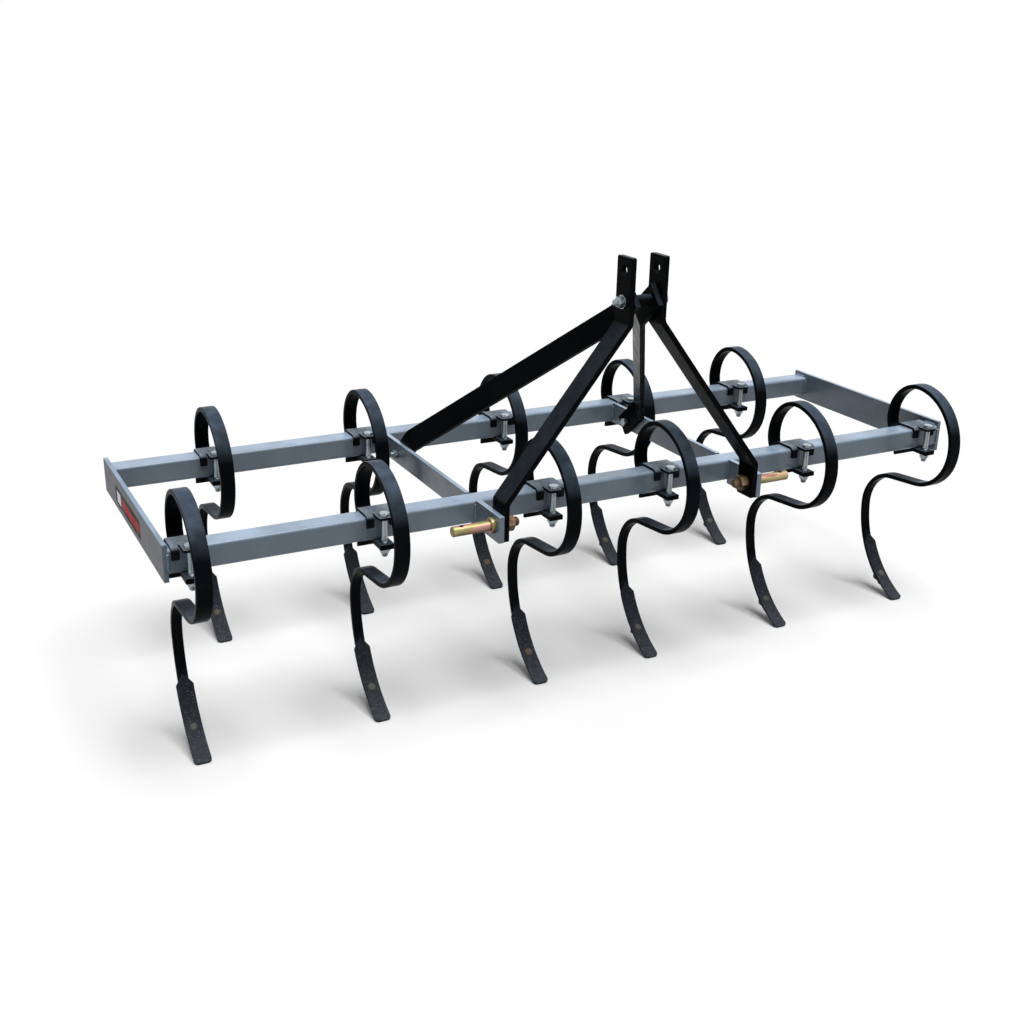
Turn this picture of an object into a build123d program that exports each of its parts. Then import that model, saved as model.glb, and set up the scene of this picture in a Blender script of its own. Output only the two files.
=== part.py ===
"""Field cultivator: a drawn frame with a three-point hitch and two rows of S-tines.

Millimetres. +X runs along the toolbars, +Y points back from the hitch, +Z is up.
The origin is on the ground under the middle of the whole machine.
"""
import os
from math import atan2, cos, radians, sin, sqrt

from build123d import *

os.makedirs("parts", exist_ok=True)

# Toolbars and the plates between them
TUBE = 50.8                 # square tube, outer side
TUBE_WALL = 5.0
TUBE_CORNER = 8.0           # outer corner radius
BAR_LENGTH = 1946.0
BAR_SPACING = 512.0         # front bar centre to rear bar centre
PLATE_T = 10.0              # flat bar of the end plates and cross plates
END_PLATE_HEIGHT = 77.0
END_PLATE_DROP = 2.0        # the end plates sit this much low on the tube
CROSS_HEIGHT = 52.0

# Lower hitch pins and the lugs that carry them
PIN_PLANE = 331.0           # outer face of each lug and cross plate, from the middle
PIN_AHEAD = 82.0            # pin axis ahead of the front face of the front bar
PIN_RADIUS = 11.0
PIN_LENGTH = 84.0           # from the collar to the free end
PIN_CHAMFER = 2.0
COLLAR_RADIUS = 17.0
COLLAR_T = 9.0
COLLAR_EDGE = 2.0           # rounding of the collar's outer edge
PIN_THREAD_RADIUS = 10.0
PIN_THREAD_STUB = 15.0      # thread that shows past the nut
PIN_NUT_FLATS = 32.0
PIN_NUT_T = 18.0
LYNCH_RADIUS = 5.7          # hole for the retaining pin
LYNCH_FROM_END = 20.0
LUG_T = 12.0
LUG_HEIGHT = 58.0
LUG_DROP = 3.0              # the lugs' middle below the centre of the front bar
LUG_NOSE = 28.0             # lug ahead of the pin axis
LUG_CORNER = 2.5

# Mast: two upright straps, two braces and the bolt and spacer between them
STRAP_WIDTH = 54.0
BRACE_WIDTH = 52.0
STRAP_T = 12.0
STRAP_CORNER = 4.0
BEND_RADIUS = 16.0          # bends in straps and braces
MAST_HALF = 45.0            # outer face of each strap at the top, from the middle
TOP_BORE_UP = 502.0         # above the centre of the front bar
TOP_BORE_RADIUS = 10.2
MAST_CAP = 27.0             # strap above the top bore
BOLT_BELOW_BORE = 64.0
BEND_BELOW_BORE = 106.0
STRAP_LOWER_BEND = 51.0     # above the centre of the front bar
STRAP_FOOT_DROP = 32.0      # below the centre of the front bar
MAST_BOLT_RADIUS = 7.0
MAST_NUT_FLATS = 22.0
MAST_NUT_T = 12.0
WASHER_RADIUS = 14.5
WASHER_T = 3.0
BOLT_STUB = 7.0             # thread that shows past a nut
SPACER_RADIUS = 11.5
BRACE_BOLT_AHEAD = 108.0    # lower brace bolt, ahead of the centre of the rear bar
BRACE_BOLT_DROP = 2.0
BRACE_BOLT_RADIUS = 6.5
BRACE_NUT_FLATS = 19.0
BRACE_NUT_T = 10.0
BRACE_HEAD_LEAD = 20.0      # length of brace past the mast bolt
BRACE_TOP_STRAIGHT = 62.0   # from the mast bolt to the upper bend
BRACE_FOOT_STRAIGHT = 70.0  # from the lower bend to the lower bolt
BRACE_FOOT_TAIL = 22.0

# Clamps that hold the tines to the bars
CLAMP_T = 6.0
CLAMP_WIDTH = 66.0
CLAMP_BEND = 5.0            # inner radius of the pressed bends
CLAMP_LEG = 16.0            # width of each front leg
CLAMP_LEG_DROP = 21.0       # below the top of the bar
TONGUE_WIDTH = 30.0
TONGUE_NOSE = 14.0          # tongue ahead of the bolt
BAND_DROP = 29.6            # rear wall below the bar
WINDOW_SIDE_GAP = 2.0
WINDOW_TOP_GAP = 2.9        # window above the underside of the bar
CLAMP_BOLT_AHEAD = 16.0     # bolt axis ahead of the front face of the bar
CLAMP_BOLT_RADIUS = 6.5
CLAMP_HEAD_FLATS = 20.0
CLAMP_HEAD_T = 8.0
CLAMP_NUT_FLATS = 20.0
CLAMP_NUT_T = 13.0

# S-tines: a flat spring strip with a flat seat, a loop round the bar and a curved shank
STRIP_T = 11.0
STRIP_WIDTH = 32.0
SHANK_WIDTH = 22.0
TAPER_TOP = 124.0           # the strip narrows between these drops below the bar's centre
TAPER_END = 160.0
SEAT_NOSE = 17.0            # seat ahead of the clamp bolt
SEAT_LENGTH = 76.4
SEAT_RADIUS = 64.0          # centreline radii of the bends, in the order they come
REAR_RADIUS = 98.0
TOP_RADIUS = 83.0
FRONT_RADIUS = 133.0
LOW_RADIUS = 109.0
BOTTOM_RUN = 85.0           # straight between the loop and the crest
CREST_RADIUS = 100.0
SHANK_RADIUS = 257.0
LOOP_BENDS = (
    # radius, turn in degrees
    (SEAT_RADIUS, 90.0),
    (REAR_RADIUS, 55.0),
    (TOP_RADIUS, 42.0),
    (FRONT_RADIUS, 94.0),
    (LOW_RADIUS, 73.5),
)
CREST_TURN = -85.0
SHANK_TURN = -52.0
DOWNWARD = 270.0            # heading of the strip where it runs straight down

# Reversible points bolted to the front of the shanks
POINT_T = 6.0
POINT_WIDTH = 36.0
POINT_FROM_TURN = 21.5      # degrees round the shank bend where the point begins
POINT_TO_TURN = 66.0
POINT_BOLT_TURN = 46.5
POINT_CROWN = 15.0          # width left at the upper end
POINT_SHOULDER = 26.0       # length of the tapered upper end
POINT_TIP_CORNER = 5.0
POINT_BOLT_RADIUS = 5.0
POINT_BOLT_STUB = 5.0
POINT_HEAD_RADIUS = 9.0
POINT_HEAD_T = 2.6
POINT_HEAD_TAPER = 25.0     # degrees
POINT_NUT_FLATS = 17.0
POINT_NUT_T = 8.0

CLEAR = 0.3                 # gap round every bolt in its hole
SKIN = 0.1                  # gap between curved faces that lie on one another
CUTTER = 60.0               # length of the tools that cut holes

# Where each tine sits: a share of half the bar's length, and a distance along the bar
LEFT_INSET = 39.0           # end tines from the ends of the bar
RIGHT_INSET = 50.0
LEFT_GAP = 14.0             # clamps beside the cross plates
RIGHT_GAP = 2.0
MIDDLE_OFFSET = 9.0
BESIDE_CROSS = PIN_PLANE + CLAMP_WIDTH / 2
TINES = (
    # name, bar, share, distance
    ("f1", "front", -1.0, LEFT_INSET),
    ("f2", "front", -0.558, 0.0),
    ("f3", "front", -0.158, 0.0),
    ("f4", "front", 0.151, 0.0),
    ("f5", "front", 0.551, 0.0),
    ("f6", "front", 1.0, -RIGHT_INSET),
    ("r1", "rear", -0.768, 0.0),
    ("r2", "rear", 0.0, -BESIDE_CROSS - LEFT_GAP),
    ("r3", "rear", 0.0, -MIDDLE_OFFSET),
    ("r4", "rear", 0.0, BESIDE_CROSS + RIGHT_GAP),
    ("r5", "rear", 0.748, 0.0),
)

HALF = TUBE / 2
SEAT_Z = -HALF - STRIP_T / 2          # centreline of the strip under the bar
SEAT_START = -HALF - CLAMP_BOLT_AHEAD - SEAT_NOSE
MAST_TOP = TOP_BORE_UP + MAST_CAP
MAST_BOLT_UP = TOP_BORE_UP - BOLT_BELOW_BORE
STRAP_UPPER_BEND = TOP_BORE_UP - BEND_BELOW_BORE


def turn_point(centre, radius, angle):
    """Point at an angle in degrees round a centre in the side view."""
    return (centre[0] + radius * cos(radians(angle)), centre[1] + radius * sin(radians(angle)))


def walk(point, heading, radius, turn):
    """End point, end heading and centre of one bend in the side view."""
    side = 1 if turn > 0 else -1
    centre = turn_point(point, radius, heading + 90 * side)
    end = turn_point(centre, radius, heading - 90 * side + turn)
    return end, heading + turn, centre


# Side view of the tine, from the table of bends
spot = (SEAT_START + SEAT_LENGTH, SEAT_Z)
aim = 0.0
loop_reach = 0.0
for bend_radius, bend_turn in LOOP_BENDS:
    start_aim = aim
    spot, aim, hub = walk(spot, aim, bend_radius, bend_turn)
    if start_aim < DOWNWARD <= aim:
        loop_reach = bend_radius + STRIP_T / 2 - hub[0]
spot = turn_point(spot, BOTTOM_RUN, aim)
spot, aim, hub = walk(spot, aim, CREST_RADIUS, CREST_TURN)
shank_back = hub[0] + CREST_RADIUS + STRIP_T / 2
_, _, shank_hub = walk(spot, aim, SHANK_RADIUS, SHANK_TURN)
shank_zero = aim + 90                 # angle of the bend's start round its centre

point_outer = SHANK_RADIUS - STRIP_T / 2 - SKIN
point_inner = point_outer - POINT_T
BAR_UP = -turn_point(shank_hub, point_outer, shank_zero - POINT_TO_TURN)[1]
BODY_LENGTH = BAR_SPACING + loop_reach + shank_back
FRONT_Y = loop_reach - BODY_LENGTH / 2
REAR_Y = FRONT_Y + BAR_SPACING
FACE_Y = FRONT_Y - HALF               # front face of the front bar
PIN_Y = FACE_Y - PIN_AHEAD
BRACE_BOLT_Y = REAR_Y - BRACE_BOLT_AHEAD
BRACE_BOLT_Z = BAR_UP - BRACE_BOLT_DROP
TINE_PLACES = [
    (name, share * BAR_LENGTH / 2 + distance, FRONT_Y if bar == "front" else REAR_Y)
    for name, bar, share, distance in TINES
]


def save(shape, name):
    """Label one piece and write its STEP file."""
    shape.label = name
    export_step(shape, f"parts/{name}.step")


# Toolbars: square tube with rounded corners, open at the ends against the end plates
with BuildPart() as toolbar:
    with BuildSketch(Plane.YZ.offset(-BAR_LENGTH / 2)):
        RectangleRounded(TUBE, TUBE, TUBE_CORNER)
        RectangleRounded(
            TUBE - 2 * TUBE_WALL, TUBE - 2 * TUBE_WALL, TUBE_CORNER - TUBE_WALL, mode=Mode.SUBTRACT
        )
    extrude(amount=BAR_LENGTH)
save(toolbar.part.moved(Location((0, FRONT_Y, BAR_UP))), "front_toolbar")
save(toolbar.part.moved(Location((0, REAR_Y, BAR_UP))), "rear_toolbar")

# End plates across the ends of both bars
for side, name in ((-1, "end_plate_left"), (1, "end_plate_right")):
    with BuildPart() as end_plate:
        with Locations(
            (side * (BAR_LENGTH + PLATE_T) / 2, (FRONT_Y + REAR_Y) / 2, BAR_UP - END_PLATE_DROP)
        ):
            Box(PLATE_T, BAR_SPACING + TUBE, END_PLATE_HEIGHT)
    save(end_plate.part, name)

# Cross plates between the bars, in line with the lugs
for side, name in ((-1, "cross_plate_left"), (1, "cross_plate_right")):
    plate_x = side * (PIN_PLANE - PLATE_T / 2)
    with BuildPart() as cross_plate:
        with Locations((plate_x, (FRONT_Y + REAR_Y) / 2, BAR_UP)):
            Box(PLATE_T, BAR_SPACING - TUBE, CROSS_HEIGHT)
        with Locations(Location((plate_x, BRACE_BOLT_Y, BRACE_BOLT_Z), (0, 90, 0))):
            Cylinder(BRACE_BOLT_RADIUS + CLEAR, CUTTER, mode=Mode.SUBTRACT)
    save(cross_plate.part, name)

# Lugs ahead of the front bar, bored for the hitch pins
lug_reach = PIN_AHEAD + LUG_NOSE
for side, name in ((-1, "lug_left"), (1, "lug_right")):
    plate_x = side * (PIN_PLANE - LUG_T / 2)
    with BuildPart() as lug:
        with Locations((plate_x, FACE_Y - lug_reach / 2, BAR_UP - LUG_DROP)):
            Box(LUG_T, lug_reach, LUG_HEIGHT)
        fillet(lug.edges().filter_by(Axis.X).group_by(Axis.Y)[0], LUG_CORNER)
        with Locations(Location((plate_x, PIN_Y, BAR_UP), (0, 90, 0))):
            Cylinder(PIN_THREAD_RADIUS + CLEAR, CUTTER, mode=Mode.SUBTRACT)
    save(lug.part, name)

# Hitch pins: free end outboard, collar on the lug, thread and nut inboard
lug_inner = PIN_PLANE - LUG_T
nut_seat = lug_inner - STRAP_T
for side, name in ((-1, "hitch_pin_left"), (1, "hitch_pin_right")):
    outward = Plane(origin=(side * PIN_PLANE, PIN_Y, BAR_UP), z_dir=(side, 0, 0))
    inward = Plane(origin=(side * PIN_PLANE, PIN_Y, BAR_UP), z_dir=(-side, 0, 0))
    outermost = -1 if side > 0 else 0
    with BuildPart() as hitch_pin:
        with BuildSketch(outward):
            Circle(COLLAR_RADIUS)
        extrude(amount=COLLAR_T)
        collar_rims = hitch_pin.edges().filter_by(GeomType.CIRCLE).sort_by(Axis.X)
        fillet(collar_rims[outermost], COLLAR_EDGE)
        with BuildSketch(outward.offset(COLLAR_T)):
            Circle(PIN_RADIUS)
        extrude(amount=PIN_LENGTH)
        pin_rims = hitch_pin.edges().filter_by(GeomType.CIRCLE).sort_by(Axis.X)
        chamfer(pin_rims[outermost], PIN_CHAMFER)
        with BuildSketch(inward):
            Circle(PIN_THREAD_RADIUS)
        extrude(amount=PIN_PLANE - nut_seat + PIN_NUT_T + PIN_THREAD_STUB)
        with BuildSketch(inward.offset(PIN_PLANE - nut_seat)):
            RegularPolygon(PIN_NUT_FLATS / 2, 6, major_radius=False, rotation=90)
        extrude(amount=PIN_NUT_T)
        with Locations(
            (side * (PIN_PLANE + COLLAR_T + PIN_LENGTH - LYNCH_FROM_END), PIN_Y, BAR_UP)
        ):
            Cylinder(LYNCH_RADIUS, CUTTER, mode=Mode.SUBTRACT)
    save(hitch_pin.part, name)

# Mast straps: upright at the top, splayed below, upright again inside the lugs
slope = atan2(lug_inner - MAST_HALF, STRAP_UPPER_BEND - STRAP_LOWER_BEND)
shift = STRAP_T * sin(slope / 2) / cos(slope / 2)
for side, name in ((-1, "mast_strap_left"), (1, "mast_strap_right")):
    with BuildPart() as strap:
        with BuildSketch(Plane.XZ.offset(-(PIN_Y - STRAP_WIDTH / 2))):
            with BuildLine():
                outer = FilletPolyline(
                    (side * lug_inner, BAR_UP - STRAP_FOOT_DROP),
                    (side * lug_inner, BAR_UP + STRAP_LOWER_BEND),
                    (side * MAST_HALF, BAR_UP + STRAP_UPPER_BEND),
                    (side * MAST_HALF, BAR_UP + MAST_TOP),
                    radius=BEND_RADIUS,
                )
                inner = FilletPolyline(
                    (side * nut_seat, BAR_UP - STRAP_FOOT_DROP),
                    (side * nut_seat, BAR_UP + STRAP_LOWER_BEND - shift),
                    (side * (MAST_HALF - STRAP_T), BAR_UP + STRAP_UPPER_BEND - shift),
                    (side * (MAST_HALF - STRAP_T), BAR_UP + MAST_TOP),
                    radius=BEND_RADIUS,
                )
                Line(outer @ 0, inner @ 0)
                Line(outer @ 1, inner @ 1)
            make_face()
        extrude(amount=-STRAP_WIDTH)
        fillet(strap.edges().filter_by(Axis.X).group_by(Axis.Z)[0], STRAP_CORNER)
        fillet(strap.edges().filter_by(Axis.X).group_by(Axis.Z)[-1], STRAP_CORNER)
        for hole_x, hole_up, hole_radius in (
            (MAST_HALF, TOP_BORE_UP, TOP_BORE_RADIUS),
            (MAST_HALF, MAST_BOLT_UP, MAST_BOLT_RADIUS + CLEAR),
            (lug_inner, 0, PIN_THREAD_RADIUS + CLEAR),
        ):
            with Locations(Location((side * hole_x, PIN_Y, BAR_UP + hole_up), (0, 90, 0))):
                Cylinder(hole_radius, CUTTER, mode=Mode.SUBTRACT)
    save(strap.part, name)

# Braces: flat bar on edge from the mast bolt back and out to the cross plates
brace_back = BRACE_BOLT_Y - PIN_Y
brace_fall = BAR_UP + MAST_BOLT_UP - BRACE_BOLT_Z
brace_run = sqrt(brace_back**2 + brace_fall**2)
brace_up = Vector(0, brace_fall / brace_run, brace_back / brace_run)
brace_top = MAST_HALF - STRAP_T       # outer face at the mast
brace_foot = PIN_PLANE - PLATE_T      # outer face at the cross plate
brace_slope = atan2(brace_foot - brace_top, brace_run - BRACE_TOP_STRAIGHT - BRACE_FOOT_STRAIGHT)
lag = STRAP_T * sin(brace_slope / 2) / cos(brace_slope / 2)
for side, name in ((-1, "brace_left"), (1, "brace_right")):
    flat = Plane(
        origin=(0, PIN_Y, BAR_UP + MAST_BOLT_UP), x_dir=(side, 0, 0), z_dir=brace_up * side
    )
    with BuildPart() as brace:
        with BuildSketch(flat):
            with BuildLine():
                outer = FilletPolyline(
                    (brace_top, -BRACE_HEAD_LEAD),
                    (brace_top, BRACE_TOP_STRAIGHT),
                    (brace_foot, brace_run - BRACE_FOOT_STRAIGHT),
                    (brace_foot, brace_run + BRACE_FOOT_TAIL),
                    radius=BEND_RADIUS,
                )
                inner = FilletPolyline(
                    (brace_top - STRAP_T, -BRACE_HEAD_LEAD),
                    (brace_top - STRAP_T, BRACE_TOP_STRAIGHT + lag),
                    (brace_foot - STRAP_T, brace_run - BRACE_FOOT_STRAIGHT + lag),
                    (brace_foot - STRAP_T, brace_run + BRACE_FOOT_TAIL),
                    radius=BEND_RADIUS,
                )
                Line(outer @ 0, inner @ 0)
                Line(outer @ 1, inner @ 1)
            make_face()
        extrude(amount=BRACE_WIDTH / 2, both=True)
        for hole_x, hole_y, hole_z, hole_radius in (
            (brace_top, PIN_Y, BAR_UP + MAST_BOLT_UP, MAST_BOLT_RADIUS + CLEAR),
            (brace_foot, BRACE_BOLT_Y, BRACE_BOLT_Z, BRACE_BOLT_RADIUS + CLEAR),
        ):
            with Locations(Location((side * hole_x, hole_y, hole_z), (0, 90, 0))):
                Cylinder(hole_radius, CUTTER, mode=Mode.SUBTRACT)
    save(brace.part, name)

# Spacer tube between the braces, with the long bolt of the mast through it
spacer_half = brace_top - STRAP_T
with BuildPart() as spacer:
    with BuildSketch(Plane.YZ.offset(-spacer_half)):
        with Locations((PIN_Y, BAR_UP + MAST_BOLT_UP)):
            Circle(SPACER_RADIUS)
            Circle(MAST_BOLT_RADIUS + CLEAR, mode=Mode.SUBTRACT)
    extrude(amount=2 * spacer_half)
save(spacer.part, "mast_spacer")


def through_bolt(start, direction, grip, radius, head, nut, washer=0):
    """Bolt with a head before the grip and a nut after it; head and nut are flats, depth."""
    base = Plane(origin=start, z_dir=direction)
    with BuildPart() as bolt:
        with BuildSketch(base.offset(-washer - head[1])):
            RegularPolygon(head[0] / 2, 6, major_radius=False)
        extrude(amount=head[1])
        with BuildSketch(base.offset(grip + washer)):
            RegularPolygon(nut[0] / 2, 6, major_radius=False)
        extrude(amount=nut[1])
        with BuildSketch(base.offset(-washer)):
            Circle(radius)
        extrude(amount=grip + 2 * washer + nut[1] + BOLT_STUB)
        if washer:
            with BuildSketch(base.offset(-washer), base.offset(grip)):
                Circle(WASHER_RADIUS)
            extrude(amount=washer)
    return bolt.part


mast_bolt = through_bolt(
    (MAST_HALF, PIN_Y, BAR_UP + MAST_BOLT_UP), (-1, 0, 0), 2 * MAST_HALF, MAST_BOLT_RADIUS,
    (MAST_NUT_FLATS, MAST_NUT_T), (MAST_NUT_FLATS, MAST_NUT_T), WASHER_T,
)
save(mast_bolt, "mast_bolt")

brace_bolts = [
    through_bolt(
        (side * (brace_foot - STRAP_T), BRACE_BOLT_Y, BRACE_BOLT_Z), (side, 0, 0),
        PLATE_T + STRAP_T,
        BRACE_BOLT_RADIUS, (BRACE_NUT_FLATS, BRACE_NUT_T), (BRACE_NUT_FLATS, BRACE_NUT_T),
    )
    for side in (-1, 1)
]
save(Compound(children=brace_bolts), "brace_bolts")

# Bolt hole through a shank and its point, square to both
bolt_angle = shank_zero - POINT_BOLT_TURN
bolt_out = (0, cos(radians(bolt_angle)), sin(radians(bolt_angle)))
hole_start = Plane(
    origin=(0, *turn_point(shank_hub, SHANK_RADIUS - CUTTER / 2, bolt_angle)), z_dir=bolt_out
)

# One tine about the centre of its bar: the strip is swept along its bends, then tapered
with BuildPart() as tine:
    with BuildLine(Plane.YZ) as strip_path:
        run = Line((SEAT_START, SEAT_Z), (SEAT_START + SEAT_LENGTH, SEAT_Z))
        for bend_radius, bend_turn in LOOP_BENDS:
            run = JernArc(start=run @ 1, tangent=run % 1, radius=bend_radius, arc_size=bend_turn)
        run = Line(run @ 1, run @ 1 + (run % 1) * BOTTOM_RUN)
        for bend_radius, bend_turn in ((CREST_RADIUS, CREST_TURN), (SHANK_RADIUS, SHANK_TURN)):
            run = JernArc(start=run @ 1, tangent=run % 1, radius=bend_radius, arc_size=bend_turn)
    with BuildSketch(Plane(origin=strip_path.line @ 0, x_dir=(1, 0, 0), z_dir=strip_path.line % 0)):
        Rectangle(STRIP_WIDTH, STRIP_T)
    sweep(path=strip_path.line)
    with BuildSketch(Plane.XZ.offset(-(shank_back + STRIP_T))):
        for side in (-1, 1):
            with BuildLine():
                Polyline(
                    (side * SHANK_WIDTH / 2, -TAPER_END),
                    (side * STRIP_WIDTH / 2, -TAPER_TOP),
                    (side * STRIP_WIDTH, -TAPER_TOP),
                    (side * STRIP_WIDTH, -BAR_UP - STRIP_T),
                    (side * SHANK_WIDTH / 2, -BAR_UP - STRIP_T),
                    close=True,
                )
            make_face()
    extrude(amount=shank_back * 3, mode=Mode.SUBTRACT)
    with Locations((0, -HALF - CLAMP_BOLT_AHEAD, SEAT_Z)):
        Cylinder(CLAMP_BOLT_RADIUS + CLEAR, CUTTER, mode=Mode.SUBTRACT)
    with BuildSketch(hole_start):
        Circle(POINT_BOLT_RADIUS + CLEAR)
    extrude(amount=CUTTER, mode=Mode.SUBTRACT)

# One point: a curved blade with a tapered upper end and a tip with rounded corners
with BuildPart() as point:
    with BuildSketch(Plane.YZ):
        with BuildLine():
            blade_start = shank_zero - POINT_FROM_TURN
            blade_turn = POINT_FROM_TURN - POINT_TO_TURN
            front_arc = CenterArc(shank_hub, point_inner, blade_start, blade_turn)
            rear_arc = CenterArc(shank_hub, point_outer, blade_start, blade_turn)
            Line(front_arc @ 0, rear_arc @ 0)
            Line(front_arc @ 1, rear_arc @ 1)
        make_face()
    extrude(amount=POINT_WIDTH / 2, both=True)
    corner_edges = point.edges().filter_by(lambda edge: abs(edge.length - POINT_T) < CLEAR)
    fillet(corner_edges.sort_by(Axis.Z)[:2], POINT_TIP_CORNER)
    crown = turn_point(shank_hub, point_outer + STRIP_T, blade_start)
    inward_dir = (0, -cos(radians(blade_start)), -sin(radians(blade_start)))
    with BuildSketch(Plane(origin=(0, *crown), x_dir=(1, 0, 0), z_dir=inward_dir)):
        for side in (-1, 1):
            with BuildLine():
                Polyline(
                    (side * POINT_CROWN / 2, STRIP_T),
                    (side * POINT_CROWN / 2, 0),
                    (side * POINT_WIDTH / 2, -POINT_SHOULDER),
                    (side * POINT_WIDTH, -POINT_SHOULDER),
                    (side * POINT_WIDTH, STRIP_T),
                    close=True,
                )
            make_face()
    extrude(amount=CUTTER, mode=Mode.SUBTRACT)
    with BuildSketch(hole_start):
        Circle(POINT_BOLT_RADIUS + CLEAR)
    extrude(amount=CUTTER, mode=Mode.SUBTRACT)

# Bolt of a point: round head in front, nut behind the shank
head_face = Plane(
    origin=(0, *turn_point(shank_hub, point_inner - 2 * SKIN, bolt_angle)), z_dir=bolt_out
)
with BuildPart() as point_bolt:
    with BuildSketch(head_face):
        Circle(POINT_HEAD_RADIUS)
    extrude(amount=-POINT_HEAD_T, taper=POINT_HEAD_TAPER)
    with BuildSketch(head_face):
        Circle(POINT_BOLT_RADIUS)
    extrude(amount=POINT_T + STRIP_T + POINT_NUT_T + POINT_BOLT_STUB)
    with BuildSketch(head_face.offset(POINT_T + STRIP_T + 4 * SKIN)):
        RegularPolygon(POINT_NUT_FLATS / 2, 6, major_radius=False)
    extrude(amount=POINT_NUT_T)

# One clamp: top plate, rear wall with a window, two front legs and the tongue
band_bottom = -HALF - BAND_DROP
with BuildPart() as clamp:
    with BuildSketch(Plane.YZ.offset(-CLAMP_WIDTH / 2)):
        with BuildLine():
            outline = FilletPolyline(
                (HALF + CLAMP_T, band_bottom),
                (HALF + CLAMP_T, HALF + CLAMP_T),
                (-HALF - CLAMP_T, HALF + CLAMP_T),
                (-HALF - CLAMP_T, HALF - CLAMP_LEG_DROP),
                radius=CLAMP_BEND + CLAMP_T,
            )
            lining = FilletPolyline(
                (HALF, band_bottom),
                (HALF, HALF),
                (-HALF, HALF),
                (-HALF, HALF - CLAMP_LEG_DROP),
                radius=CLAMP_BEND,
            )
            Line(outline @ 0, lining @ 0)
            Line(outline @ 1, lining @ 1)
        make_face()
    extrude(amount=CLAMP_WIDTH)
    with Locations((0, -HALF - CLAMP_T, 0)):
        Box(CLAMP_WIDTH - 2 * CLAMP_LEG, 4 * CLAMP_T, TUBE * 2, mode=Mode.SUBTRACT)
    tongue_length = CLAMP_BOLT_AHEAD + TONGUE_NOSE + 2 * CLAMP_T
    with BuildSketch(Plane.XY.offset(HALF)):
        with Locations((0, -HALF + 2 * CLAMP_T - tongue_length / 2)):
            Rectangle(TONGUE_WIDTH, tongue_length)
    extrude(amount=CLAMP_T)
    fillet(clamp.edges().filter_by(Axis.Z).group_by(Axis.Y)[0], CLAMP_T)
    window_top = -HALF + WINDOW_TOP_GAP
    window_low = SEAT_Z - STRIP_T / 2 - CLEAR
    with Locations((0, HALF + CLAMP_T / 2, (window_top + window_low) / 2)):
        Box(
            STRIP_WIDTH + 2 * WINDOW_SIDE_GAP, 3 * CLAMP_T, window_top - window_low,
            mode=Mode.SUBTRACT,
        )
    with Locations((0, -HALF - CLAMP_BOLT_AHEAD, HALF)):
        Cylinder(CLAMP_BOLT_RADIUS + CLEAR, CUTTER, mode=Mode.SUBTRACT)

# Bolt of a clamp: head on the tongue, nut under the flat seat of the strip
clamp_bolt = through_bolt(
    (0, -HALF - CLAMP_BOLT_AHEAD, HALF + CLAMP_T), (0, 0, -1), TUBE + CLAMP_T + STRIP_T,
    CLAMP_BOLT_RADIUS, (CLAMP_HEAD_FLATS, CLAMP_HEAD_T), (CLAMP_NUT_FLATS, CLAMP_NUT_T),
)

# A copy of each at every place in the table
clamp_bolts = []
point_bolts = []
for name, across, along in TINE_PLACES:
    place = Location((across, along, BAR_UP))
    save(tine.part.moved(place), f"tine_{name}")
    save(point.part.moved(place), f"point_{name}")
    save(clamp.part.moved(place), f"clamp_{name}")
    clamp_bolts.append(clamp_bolt.moved(place))
    point_bolts.append(point_bolt.part.moved(place))
save(Compound(children=clamp_bolts), "clamp_bolts")
save(Compound(children=point_bolts), "point_bolts")
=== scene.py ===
"""Looks for the field cultivator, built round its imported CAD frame.

Metres, in the CAD frame: +X along the toolbars, +Y back from the hitch, +Z up.
"""
from __future__ import annotations

import logging
import math
from collections.abc import Iterator, Sequence
from contextlib import contextmanager
from dataclasses import dataclass
from enum import Enum

import bpy
from mathutils import Matrix, Vector


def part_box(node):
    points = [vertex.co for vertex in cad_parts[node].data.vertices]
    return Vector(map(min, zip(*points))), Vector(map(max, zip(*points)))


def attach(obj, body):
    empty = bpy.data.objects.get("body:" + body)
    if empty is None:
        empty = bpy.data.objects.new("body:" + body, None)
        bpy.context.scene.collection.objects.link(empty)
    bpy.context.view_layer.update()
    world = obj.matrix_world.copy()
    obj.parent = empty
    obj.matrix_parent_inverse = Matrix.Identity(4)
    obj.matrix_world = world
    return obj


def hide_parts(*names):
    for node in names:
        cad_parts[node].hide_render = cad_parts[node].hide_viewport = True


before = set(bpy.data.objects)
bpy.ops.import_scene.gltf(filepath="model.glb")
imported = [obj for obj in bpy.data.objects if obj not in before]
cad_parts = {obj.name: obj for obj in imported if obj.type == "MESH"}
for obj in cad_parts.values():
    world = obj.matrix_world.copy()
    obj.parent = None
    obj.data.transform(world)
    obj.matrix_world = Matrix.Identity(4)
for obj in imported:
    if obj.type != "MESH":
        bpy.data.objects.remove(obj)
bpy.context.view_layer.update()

Piece = bpy.types.Object
Tree = bpy.types.NodeTree
Node = bpy.types.Node
Socket = bpy.types.NodeSocket
Inputs = dict[str | int, object]        # what a node's inputs get
Layers = list[tuple[object, str]]       # mask and hex colour of each, the lowest first
Span = tuple[float, float]
Station = tuple[float, float]   # height and radius of a turned piece
Run = tuple[Vector, Vector]     # start and end of a weld bead

log = logging.getLogger("cultivator")
MM = 0.001
HAIR = 1e-5                     # keeps apart two stations at one height
QUARTER = math.pi / 2
BODY = "root"
NOISE_MIDDLE = (0.35, 0.65)     # most of a noise's values lie between these
MIX_RESULT = 2                  # output of a Mix node that gives its colour


class Slot(Enum):
    """Material slots."""

    FRAME_PAINT = "frame_paint"
    BLACK_PAINT = "black_paint"
    SPRING_BLACK = "spring_black"
    POINT_STEEL = "point_steel"
    BOLT_STEEL = "bolt_steel"
    ZINC = "zinc"
    YELLOW_ZINC = "yellow_zinc"


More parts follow.
